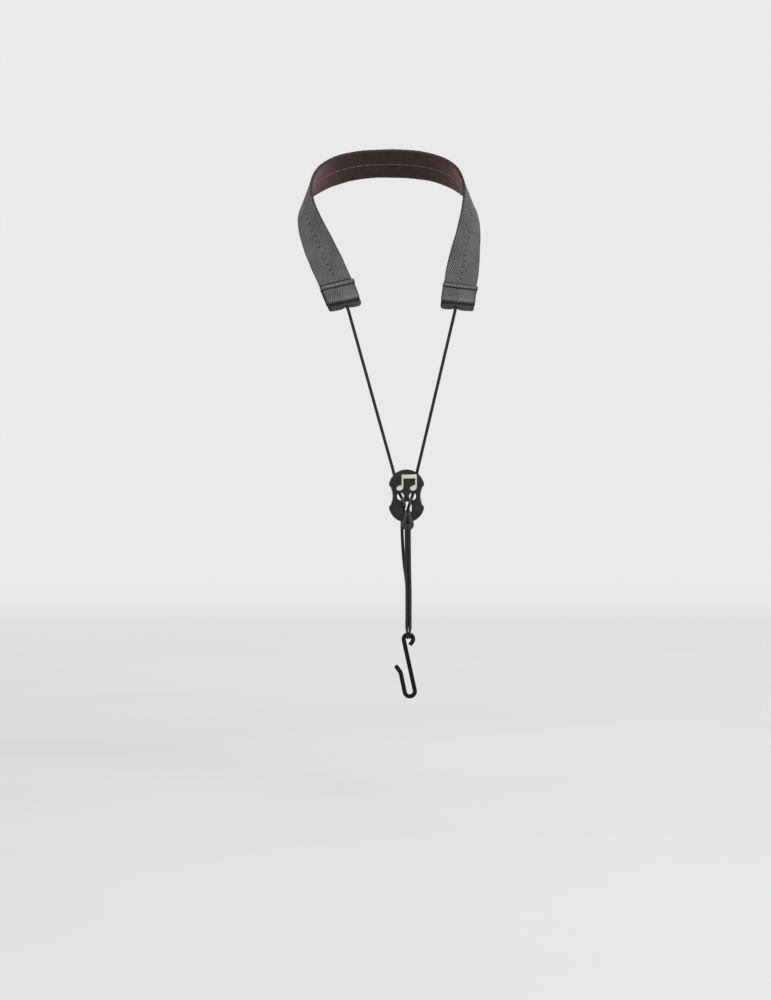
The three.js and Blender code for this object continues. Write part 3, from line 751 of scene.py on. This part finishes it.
def make_cords():
    for side in SIDES:
        upper = [*leg_route(side), *from_plate(LACING[side])]
        v_cord = add_cord(f"cord_v_{side}", upper, 0.8, f"cord_leg_{side}", f"cord_lacing_{side}")
        lip = knot_centre(side) + end_direction(side) * 5
        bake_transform(v_cord)
        front = strand_route(side, -1)
        behind = [PLATE + Vector(LACING[side][-1]) + Vector((0, 0, 1)), *strand_route(side, 1)]
        lower = [*behind, *bight_route(side), *reversed(front)]
        nodes = [f"cord_back_strand_{side}", f"cord_front_strand_{side}", f"cord_hook_bight_{side}"]
        loop = add_cord(f"cord_loop_{side}", lower, 0.8, *nodes, thin=squeezed_at_eye)
        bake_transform(loop)
        make_knot(side)
    right = [(HITCH_MIDDLE + x, y, z) for x, y, z in HITCH_HALF]
    left = [(HITCH_MIDDLE - x, y, z) for x, y, z in HITCH_HALF[1:]]
    below = [(HITCH_MIDDLE + sign * STRAND_HALF, -5.7, -32.2) for sign in (-1, 1)]
    route = from_plate([below[0], *reversed(left), *right, below[1]])
    add_cord("cord_hitch_round_bridge", route, 0.5, "cord_hitch", body="slider", thin=squeezed_in_hitch)


def make_knot(side):
    """A small overhand knot that stops the cord inside the roll."""
    turns = np.linspace(0, 2 * math.pi, 120)
    loop = 1 + 0.42 * np.cos(3 * turns)
    y, z, x = 1.55 * loop * np.cos(2 * turns), 0.95 * loop * np.sin(2 * turns), 0.95 * np.sin(3 * turns)
    line = worn(at_end(side, CAP["roll"] + x, cord_across(side) + y, z))
    piece = add_mesh(f"cord_stopper_knot_{side}", *tube(line, 0.72, 12))
    place_piece(piece, "cord", "cord", "band", f"cord_knot_{side}")


# ---- the neck band
ACROSS = [0, 0.35, 0.8, 1.6, 3, 5, 7, 9, 11, 12.6, 13.6, 14.3, 14.7]
BAND_END = {side: sign * (LENGTH[side] - 8) for side, sign in SIDES.items()}


def seam_pull(x, y):
    """How deep the seam pulls the cloth in: a shallow groove, and a small pit at each needle hole."""
    nearest = np.abs(x[..., None] - HOLES).min(-1)
    return 0.16 * bump(y, 1.1) + 0.42 * bump(y, 0.5) * bump(nearest, 0.6)


def cloth_strip(name, x0, x1, width, z0, z1, step, pulled):
    """A long flat layer with rounded edges. pulled is 1 if the seam shows on its outer face, -1 if inner."""
    half = width / 2
    y_half = [a for a in ACROSS if a < half - 0.45]
    y_face = np.array([-a for a in reversed(y_half)][:-1] + y_half)
    thick = z1 - z0
    edge = np.radians([60, 30, 0, -30, -60])
    y_edge, z_edge = half - 0.35 + 0.35 * np.cos(edge), (z0 + z1) / 2 + thick / 2 * np.sin(edge)
    ring_y = np.concatenate([y_face, y_edge, y_face[::-1], -y_edge[::-1]])
    n = len(y_face)
    ring_z = np.concatenate([np.full(n, z1), z_edge, np.full(n, z0), z_edge[::-1]])
    x = np.linspace(x0, x1, round((x1 - x0) / step) + 1)
    rings = np.empty((len(x), len(ring_y), 3))
    rings[..., 0] = x[:, None]
    rings[..., 1] = ring_y
    rings[..., 2] = ring_z
    wave = 0.12 * np.sin(x / 9.7) + 0.08 * np.sin(x / 4.1 + 1)
    rings[..., 1] += (wave[:, None] + 0.05) * (np.abs(ring_y) > half - 1) * np.sign(ring_y)
    on_seam_face = ring_z == (z1 if pulled > 0 else z0)
    rings[..., 2] -= pulled * seam_pull(rings[..., 0], rings[..., 1]) * on_seam_face
    across = np.append(ring_y, ring_y[0])
    vertices, faces, uvs = loft(rings, x, across)
    return add_mesh(name, worn(vertices), [face[::-1] for face in faces], flipped(uvs, faces))


def flipped(uvs, faces):
    """Corner uvs for faces whose corners are listed the other way round."""
    out, at = [], 0
    for face in faces:
        out += uvs[at:at + len(face)][::-1]
        at += len(face)
    return out


def make_band():
    left, right = BAND_END["left"], BAND_END["right"]
    width = BAND["width"]
    webbing = cloth_strip("neck_band_webbing", left, right, width, *BAND["webbing"], 0.75, 1)
    place_piece(webbing, "webbing", "webbing", "band", "band_outer_webbing")
    lining = cloth_strip("neck_band_lining", left, right, BAND["lining_width"], *BAND["lining"], 1.5, -1)
    place_piece(lining, "lining", "lining", "band", "band_inner_lining")


def stitch(a, b, out, rise, radius):
    """One stitch from flat place a to b: it dives into both needle holes and bows out between them."""
    t = np.linspace(0, 1, 9)[:, None]
    dive = np.maximum(ease(t / 0.16) * ease((1 - t) / 0.16), 0)
    height = rise * dive - 2.2 * radius * (1 - dive)
    line = np.asarray(a) * (1 - t) + np.asarray(b) * t + np.asarray(out) * height
    return tube(worn(line), radius, 8)


def make_seam():
    """Lockstitches down the middle of both faces of the band."""
    faces = {"top": (BAND["webbing"][1] - 0.16, 1), "bobbin": (BAND["lining"][0] + 0.16, -1)}
    for name, (z, sign) in faces.items():
        parts = [stitch((a + 0.3, 0, z), (b - 0.3, 0, z), (0, 0, sign), 0.12, SEAM["radius"])
                 for a, b in zip(HOLES, HOLES[1:])]
        piece = add_mesh(f"seam_{name}_stitches", *join(parts))
        place_piece(piece, "thread", "thread", "band", f"band_seam_{name}_thread")


# ---- the end caps
def cap_rings(side, rng):
    """The section at each place across the cap, pinched where the cord leaves and loose at the corners."""
    outside, inside = cap_profile()
    half = CAP["width"] / 2
    outer_part = np.linspace(3.2, half, 22)
    across = np.concatenate([-outer_part[::-1], np.linspace(-3, 3, 21), outer_part])
    roll = CAP["roll"]
    rings = []
    loose = rng.uniform(-1, 1, 8)
    exit_at = cord_across(side)
    for y in across:
        section = np.concatenate([outside, inside[::-1]])
        before, z = section[:, 0].copy(), section[:, 1].copy()
        is_outside = np.arange(len(section)) < len(outside)
        on_roll = ease((2 * roll + 1.2 - before) / 1.6)
        off = y - exit_at
        pinch = 0.26 * bump(off, 2.6) - 0.05 * bump(abs(off) - 8, 4)
        z = z * (1 - on_roll * pinch)
        drawn = 0.5 * bump(off, 3.2) - 0.15 * bump(abs(off) - 8, 5)
        before = before + on_roll * drawn * (roll * 2 - before) / roll
        funnel = is_outside * bump(np.hypot(off, z), 1.9) * (before < roll)
        before = before + 0.85 * funnel
        before = before + 0.25 * loose[0] * (y / half) * on_roll
        on_hem = ease((before - (CAP["length"] - CAP["hem"] - 0.5)) / 0.5) * (z > 0)
        edge = ease((abs(y) - half + 2.5) / 2.5)
        z = z + on_hem * edge * (0.25 * loose[1] if y > 0 else -0.9)
        z = z - edge * 0.18 * is_outside * np.sign(z)
        into_corner = max(abs(y) - half + CAP["corner"], 0) / CAP["corner"]
        rounding = CAP["corner"] * (1 - math.sqrt(1 - min(into_corner, 1) ** 2))
        before = before + 0.75 * rounding * ease((roll + 1 - before) / (roll + 1))
        z = z * (1 - 0.3 * on_roll * into_corner ** 2)
        flare = 0.05 if y > 0 else 0
        wide = y * (1 + flare * on_hem - 0.012 * (1 - on_hem) * edge - 0.02 * on_roll)
        wide = wide + 0.12 * edge * np.sin(before * 1.7 + loose[3] * 3) * np.sign(y)
        before = before + 0.12 * np.sin(y / 3.1 + loose[4] * 3) * (before > CAP["length"] - 5)
        rings.append(at_end(side, before, wide, z))
    return across, np.array(rings), len(outside), len(inside)


def cap_groove(before, z):
    """The two rows of hem stitches draw the cloth down."""
    row = HEM_ROWS[:, None]
    return 0.3 * bump(before[None] - row, 0.42).max(0) * (z > 0)


def make_cap(side, rng):
    across, rings, outside, inside = cap_rings(side, rng)
    before = LENGTH[side] - np.abs(rings[..., 0])
    height = rings[..., 2] - BAND["middle"]
    rings[..., 2] -= cap_groove(before.ravel(), height.ravel()).reshape(before.shape) * (height > 2)
    profile = cap_run(cap_profile()[0])
    back = np.linspace(profile[-1], 0, inside)
    run = np.concatenate([profile, back, [0]])
    vertices, faces, uvs = loft(rings, across, run)
    uvs = [(-v, u) for u, v in uvs]
    if SIDES[side] < 0:
        faces, uvs = [f[::-1] for f in faces], flipped(uvs, faces)
    piece = add_mesh(f"end_cap_cloth_{side}", worn(vertices), [f[::-1] for f in faces], flipped(uvs, faces))
    place_piece(piece, "cap", "webbing", "band", f"end_cap_{side}")


def make_cap_stitches(side):
    """Two rows along the hem, seen on both faces, and a short row down the middle."""
    pitch, radius, reach = HEM_STITCH["pitch"], HEM_STITCH["radius"], HEM_STITCH["reach"]
    hem = CAP["gap"] + CAP["hem_rise"]
    face = CAP["gap"] + CAP["cloth"]
    parts = []
    starts = np.arange(-reach, reach - pitch / 2, pitch)
    for row in HEM_ROWS:
        for z, out in ((hem - 0.2, 1), (-face, -1)):
            for y in starts:
                a, b = at_end(side, row, y + 0.2, z), at_end(side, row, y + pitch - 0.2, z)
                parts.append(stitch(a, b, (0, 0, out), 0.06, radius))
    for start in (22.6, 19.9, 17.2, 14.5, 11.8):
        for z, out in ((face + 0.05, 1), (-face, -1)):
            a, b = at_end(side, start, 0, z), at_end(side, start - 2.3, 0, z)
            parts.append(stitch(a, b, (0, 0, out), 0.06, radius))
    piece = add_mesh(f"end_cap_stitches_{side}", *join(parts))
    place_piece(piece, "thread", "thread", "band", f"end_cap_stitching_{side}")


def make_fray(side, rng):
    """A few loose fibres at the hem's cut corners."""
    fibres, tuck = 9, 0.3
    parts = []
    for edge in (-1, 1):
        for _ in range(fibres):
            before = rng.uniform(CAP["length"] - CAP["hem"] - tuck, CAP["length"] - tuck)
            y, z = edge * rng.uniform(15.2, 15.9), rng.uniform(2.0, 3.1)
            reach, droop = rng.uniform(0.5, 1.5), rng.uniform(-0.7, 0.7)
            t = np.linspace(0, 1, 6)
            line = at_end(side, before - droop * t * t, y + edge * reach * t, z + 0.3 * np.sin(3 * t + droop))
            parts.append(tube(worn(line), np.linspace(0.09, 0.04, 6), 6))
    piece = add_mesh(f"end_cap_fray_{side}", *join(parts))
    place_piece(piece, "thread", "thread", "band")


# ---- the slider
def rounded_plate(name, outlines, thickness, edge, front):
    """A flat plate with rounded edges, from outlines in (x, z) about the slider's middle: first the outside,
    then any holes. front is the y of its front face."""
    curve = bpy.data.curves.new(name, "CURVE")
    curve.dimensions = "2D"
    curve.fill_mode = "BOTH"
    for outline in outlines:
        spline = curve.splines.new("POLY")
        spline.points.add(len(outline) - 1)
        for point, (x, z) in zip(spline.points, outline):
            point.co = (x * MM, z * MM, 0, 1)
        spline.use_cyclic_u = True
    curve.extrude = (thickness / 2 - edge) * MM
    curve.bevel_depth = edge * MM
    curve.bevel_resolution = 4
    curve.offset = -edge * MM
    drawn = add_object(name + "_drawn", curve)
    bpy.context.view_layer.update()
    mesh = bpy.data.meshes.new_from_object(drawn.evaluated_get(bpy.context.evaluated_depsgraph_get()))
    bpy.data.objects.remove(drawn)
    co = np.empty(len(mesh.vertices) * 3)
    mesh.vertices.foreach_get("co", co)
    co = co.reshape(-1, 3) / MM
    placed = np.stack([co[:, 0] + PLATE.x, front + thickness / 2 - co[:, 2], co[:, 1] + PLATE.z], 1)
    mesh.vertices.foreach_set("co", (placed * MM).ravel())
    mesh.materials.clear()
    mesh.update()
    piece = add_object(name, mesh)
    weld_and_smooth(piece)
    return piece


def weld_and_smooth(piece):
    """Joins the seams of a mesh made from a curve and shades it smooth but for its sharp edges."""
    made = bmesh.new()
    made.from_mesh(piece.data)
    bmesh.ops.remove_doubles(made, verts=made.verts, dist=0.001 * MM)
    bmesh.ops.recalc_face_normals(made, faces=made.faces)
    made.to_mesh(piece.data)
    made.free()
    for polygon in piece.data.polygons:
        polygon.use_smooth = True
    piece.data.set_sharp_from_angle(angle=math.radians(50))


def arc(x, z, rx, rz, start, end, steps):
    """Points of an elliptical arc, from one angle in degrees to another."""
    angles = np.radians(np.linspace(start, end, steps))
    return [(x + rx * math.cos(a), z + rz * math.sin(a)) for a in angles]


def grip_points():
    """The right half of the grip, from top to bottom: a hollow curve with rounded teeth."""
    height, waist, fine = GRIP["height"], GRIP["waist"], 10
    steps = GRIP["teeth"] * fine
    points = []
    for i in range(steps + 1):
        z = height * (1 - 2 * i / steps)
        hollow = waist + (GRIP["end"] - waist) * (z / height) ** 2
        points.append((hollow + GRIP["tooth_depth"] * (abs(math.sin(math.pi * i / fine)) - 0.5), z))
    return points


def curved_corner(a, corner, b, steps):
    """Points of a quadratic curve from a to b, drawn towards the corner, without its two ends."""
    a, corner, b = np.array(a), np.array(corner), np.array(b)
    inner = np.linspace(0, 1, steps + 1)[1:-1]
    return [tuple(a * (1 - t) ** 2 + corner * 2 * t * (1 - t) + b * t * t) for t in inner]


def plate_outlines():
    """Two round lobes joined by the grip, then the two upper holes and the lower one."""
    lobe, centre, lobe_end = SLIDER["lobe"], SLIDER["lobe_centre"], SLIDER["lobe_end"]
    start = math.degrees(math.asin((lobe_end - centre) / lobe))
    grip = grip_points()
    side = (lobe * math.cos(math.radians(start)), lobe_end)
    turn_in = curved_corner(side, SHOULDER, grip[0], 8)
    right = turn_in + grip + [(x, -z) for x, z in reversed(turn_in)]
    outline = arc(0, centre, lobe, lobe, start, 180 - start, 60) + [(-x, z) for x, z in right]
    outline += arc(0, -centre, lobe, lobe, 180 + start, 360 - start, 60) + right[::-1]
    x, z, rx, rz = UPPER_HOLES.values()
    uppers = [arc(sign * x, z, rx, rz, 360, 12, 30) for sign in (-1, 1)]
    x, top, bottom, radius, corner = LOWER_HOLE.values()
    lower = arc(x, top - radius, radius, radius, 0, 180, 20)
    lower += arc(x - radius + corner, bottom + corner, corner, corner, 180, 270, 9)
    lower += arc(x + radius - corner, bottom + corner, corner, corner, 270, 360, 9)
    return [outline, *uppers, lower[::-1]]


def note_head(stem):
    """A tilted oval, clockwise from its right side round to where the stem's left side meets its top."""
    x, z, rx, rz, tilt = NOTE_HEAD.values()
    cos, sin = math.cos(tilt), math.sin(tilt)
    points = []
    for angle in np.radians(np.linspace(-14.7, -315.7, 28)):
        a, b = rx * math.cos(angle), rz * math.sin(angle)
        points.append((stem + x + a * cos - b * sin, z + a * sin + b * cos))
    return points


def emblem_outline():
    """Two notes joined by a beam, clockwise from the beam's top left corner."""
    stem, width = EMBLEM["stem"], EMBLEM["stem_width"]
    bottom, top = EMBLEM["beam"]
    outline = [(-stem, top), (stem + width, top), *note_head(stem)]
    outline += [(stem, bottom), (width - stem, bottom), *note_head(-stem)]
    return [(EMBLEM["x"] + x, EMBLEM["z"] + z) for x, z in outline]


def make_slider():
    thick, raised = SLIDER["thickness"], EMBLEM["thickness"]
    front = PLATE.y - thick / 2
    plate = rounded_plate("slider_body", plate_outlines(), thick, SLIDER["edge"], front)
    place_piece(plate, "plate", "plate", "slider", "slider_plate")
    emblem = rounded_plate("slider_note_emblem", [emblem_outline()], raised, EMBLEM["edge"], front - raised)
    place_piece(emblem, "emblem", "emblem", "slider", "slider_emblem")


# ---- the hook
def wire_route():
    """The wire's centreline from the curl's end over the eye, down the shank, round the bend to the tip."""
    curl, lean, return_lean = HOOK["curl_angle"], HOOK["lean"], HOOK_TIP["return_lean"]
    heading = curl + 90
    x, z = EYE_RADIUS * math.cos(math.radians(curl)), EYE_RADIUS * math.sin(math.radians(curl))
    points = []

    def forward(length, steps):
        nonlocal x, z
        for _ in range(steps):
            x += length / steps * math.cos(math.radians(heading))
            z += length / steps * math.sin(math.radians(heading))
            points.append((EYE.x + x, EYE.y, EYE.z + z))

    def bend(angle, radius):
        nonlocal heading
        steps = max(4, round(abs(angle) / 8))
        chord = 2 * radius * math.sin(abs(math.radians(angle)) / steps / 2)
        for _ in range(steps):
            heading += angle / steps / 2
            forward(chord, 1)
            heading += angle / steps / 2

    forward(-HOOK["curl_length"], 1)
    forward(HOOK["curl_length"], 4)
    bend(180 + lean - curl, EYE_RADIUS)
    forward(HOOK["shank"], 40)
    bend(-180 - return_lean + lean, HOOK["bend_radius"])
    forward(HOOK_TIP["return_length"], 14)
    bend(HOOK_TIP["lean"] - return_lean, HOOK_TIP["radius"])
    forward(HOOK_TIP["length"], 6)
    return np.array(points)


def make_hook():
    line = wire_route()
    steps = np.arange(len(line))
    from_end = np.minimum(steps, steps[::-1])
    sleeve = add_mesh("hook_sleeve", *tube(line, WIRE["sleeve"] - 0.12 * (from_end == 0), 24))
    place_piece(sleeve, "hook_sleeve", "hook_sleeve", "hook", "hook_coating")
    ends = []
    for a, b in ((line[1], line[0]), (line[-2], line[-1])):
        out = (b - a) / np.linalg.norm(b - a)
        core_line = [b - out, b + out * 0.05, b + out * 0.12]
        ends.append(tube(core_line, [WIRE["core"], WIRE["core"], WIRE["core"] - 0.1], 24))
    core = add_mesh("hook_wire_ends", *join(ends))
    place_piece(core, "wire", "wire", "hook", "hook_wire_core")


# ---- the studio
def make_surroundings():
    """Bright at the horizon and dimmer overhead, like a white studio under softboxes."""
    world = bpy.data.worlds.new("studio")
    world.use_nodes = True
    tree = world.node_tree
    split = tree.nodes.new("ShaderNodeSeparateXYZ")
    tree.links.new(tree.nodes.new("ShaderNodeTexCoord").outputs["Generated"], split.inputs[0])
    ramp = tree.nodes.new("ShaderNodeMapRange")
    ramp.interpolation_type = "SMOOTHSTEP"
    for socket, value in zip(ramp.inputs[1:], (0.2, 0.7, HORIZON, 0.3)):
        socket.default_value = value
    tree.links.new(split.outputs[2], ramp.inputs[0])
    background = tree.nodes["Background"]
    background.inputs[0].default_value = (1, 1, 1, 1)
    tree.links.new(ramp.outputs[0], background.inputs[1])
    bpy.context.scene.world = world


def make_stage():
    floor = bpy.data.meshes.new("floor")
    half, level = 30, CAD_BOX[0][2] - 0.09
    corners = [(-half, -half, level), (half, -half, level), (half, half, level), (-half, half, level)]
    floor.from_pydata(corners, [], [(0, 1, 2, 3)])
    floor.materials.append(pale_floor("floor"))
    plane = add_object("floor", floor)
    make_surroundings()
    for name, (place, size, watts) in LAMPS.items():
        light = bpy.data.lights.new(name, "AREA")
        light.size = size
        light.energy = watts
        lamp = add_object(name, light)
        lamp.location = place
        lamp.rotation_euler = (LAMPS_AIM - Vector(place)).to_track_quat("-Z", "Y").to_euler()
    bpy.context.scene.view_settings.view_transform = "Standard"


aim_camera()
make_cords()
make_band()
make_seam()
for cap_side in SIDES:
    draws = np.random.default_rng(7 if cap_side == "left" else 11)
    make_cap(cap_side, draws)
    make_cap_stitches(cap_side)
    make_fray(cap_side, draws)
make_slider()
make_hook()
make_stage()
